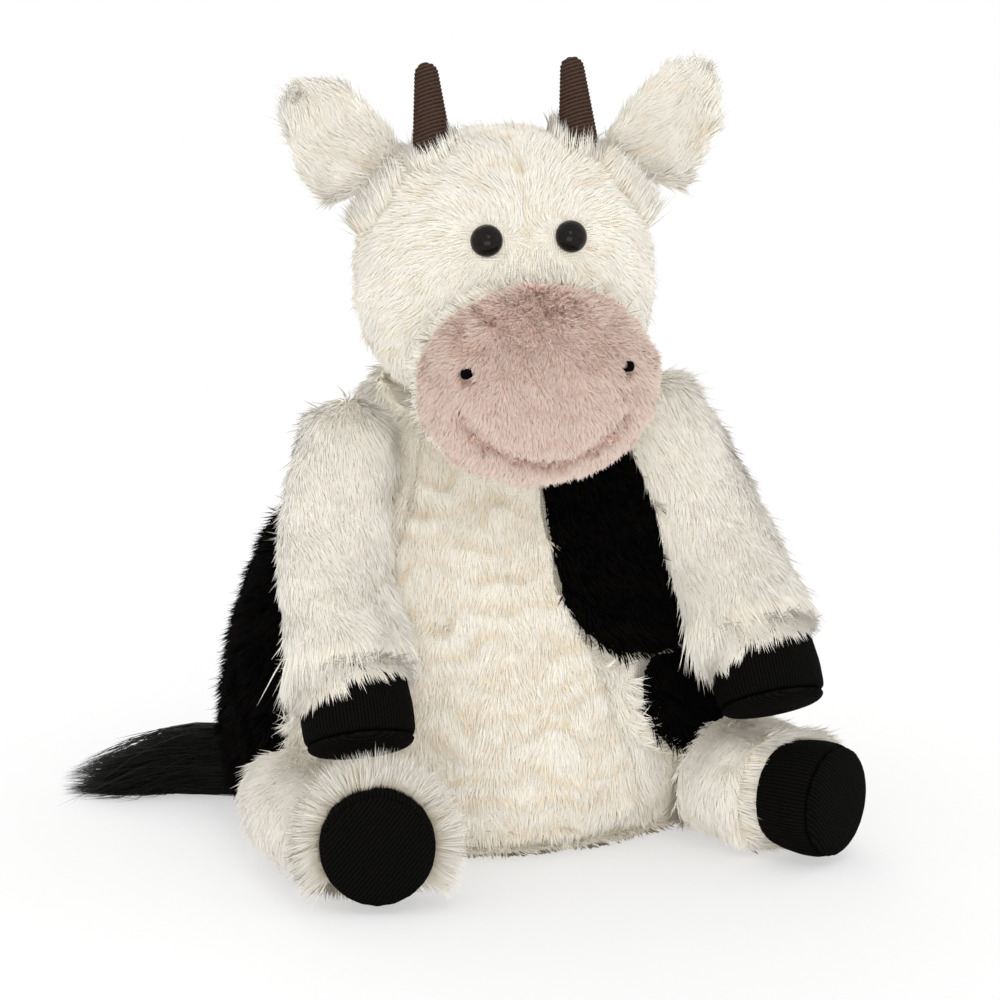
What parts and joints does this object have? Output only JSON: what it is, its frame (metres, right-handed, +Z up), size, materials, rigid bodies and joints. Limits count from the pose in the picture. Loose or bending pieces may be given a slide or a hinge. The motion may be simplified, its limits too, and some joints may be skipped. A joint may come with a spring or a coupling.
{
  "type": "plush cow",
  "caption": "Seated plush cow with long-pile white fur, black patches, pink muzzle, corded horns and hooves and a hair tail",
  "frame": {"origin": "middle of the flat base panel, on the surface that the toy sits on", "axes": "+Z up, -Y out of the toy's front, +X towards the toy's own left"},
  "size_m": [0.2293, 0.1997, 0.2654],
  "materials": {
    "white_plush": "long clumped pile, matt",
    "black_plush": "short dense pile, matt",
    "pink_plush": "short pile, salmon above and pale pink below",
    "brown_cord": "needlecord, fine ribs",
    "black_cord": "needlecord, fine ribs",
    "tail_hair": "long straight hair",
    "gloss_black": "polished",
    "washer_plastic": "moulded",
    "black_thread": "satin stitch",
    "pink_thread": "drawn-in stitch",
    "pouch_cloth": "plain weave"
  },
  "bodies": {
    "torso": {"body": "white_plush", "chest_patch": "black_plush", "flank_patch_left": "black_plush", "rump_panel": "black_plush", "belly_panel": "white_plush", "base_panel": "white_plush", "pellet_pouch": "pouch_cloth"},
    "head": {"head": "white_plush", "muzzle_side": "white_plush", "muzzle_front": "pink_plush", "mouth_thread": "pink_thread", "nostril_left": "black_thread", "nostril_right": "black_thread", "eye_left": "gloss_black", "eye_right": "gloss_black", "eye_washer_left": "washer_plastic", "eye_washer_right": "washer_plastic", "horn_left": "brown_cord", "horn_right": "brown_cord"},
    "ear_left": {"ear_left": "white_plush"},
    "ear_right": {"ear_right": "white_plush"},
    "tail": {"tail_stub": "black_plush", "tail_tuft": "tail_hair"},
    "arm_left": {"arm_left": "white_plush", "hand_hoof_left": "black_cord", "hand_end_left": "black_cord"},
    "leg_left": {"leg_left": "white_plush", "foot_hoof_left": "black_cord", "foot_sole_left": "black_cord"},
    "arm_right": {"arm_right": "white_plush", "hand_hoof_right": "black_cord", "hand_end_right": "black_cord"},
    "leg_right": {"leg_right": "white_plush", "foot_hoof_right": "black_cord", "foot_sole_right": "black_cord"}
  },
  "joints": [
    {"name": "head_turn", "type": "hinge", "parent": "torso", "child": "head", "pos_m": [0, -0.019, 0.148], "axis": [0, 0, 1], "range_deg": [-6, 20]},
    {"name": "arm_left_raise", "type": "hinge", "parent": "torso", "child": "arm_left", "pos_m": [0.044, -0.02, 0.159], "axis": [-0.8734, -0.4871, 0], "range_deg": [0, 55]},
    {"name": "leg_left_splay", "type": "hinge", "parent": "torso", "child": "leg_left", "pos_m": [0.086, -0.002, 0.021], "axis": [0, 0, 1], "range_deg": [0, 20]},
    {"name": "ear_left_flop", "type": "hinge", "parent": "head", "child": "ear_left", "pos_m": [0.04855, -0.0224, 0.22894], "axis": [-0.8283, 0.1312, 0.5446], "range_deg": [-25, 25]},
    {"name": "arm_right_raise", "type": "hinge", "parent": "torso", "child": "arm_right", "pos_m": [-0.052, -0.02, 0.159], "axis": [-0.9272, 0.3745, 0], "range_deg": [0, 55]},
    {"name": "leg_right_splay", "type": "hinge", "parent": "torso", "child": "leg_right", "pos_m": [-0.086, -0.002, 0.021], "axis": [0, 0, -1], "range_deg": [0, 20]},
    {"name": "ear_right_flop", "type": "hinge", "parent": "head", "child": "ear_right", "pos_m": [-0.04722, -0.00723, 0.22894], "axis": [-0.8283, 0.1312, -0.5446], "range_deg": [-25, 25]},
    {"name": "tail_swing", "type": "hinge", "parent": "torso", "child": "tail", "pos_m": [-0.01632, 0.07681, 0.0125], "axis": [0, 0, -1], "range_deg": [0, 50]}
  ]
}
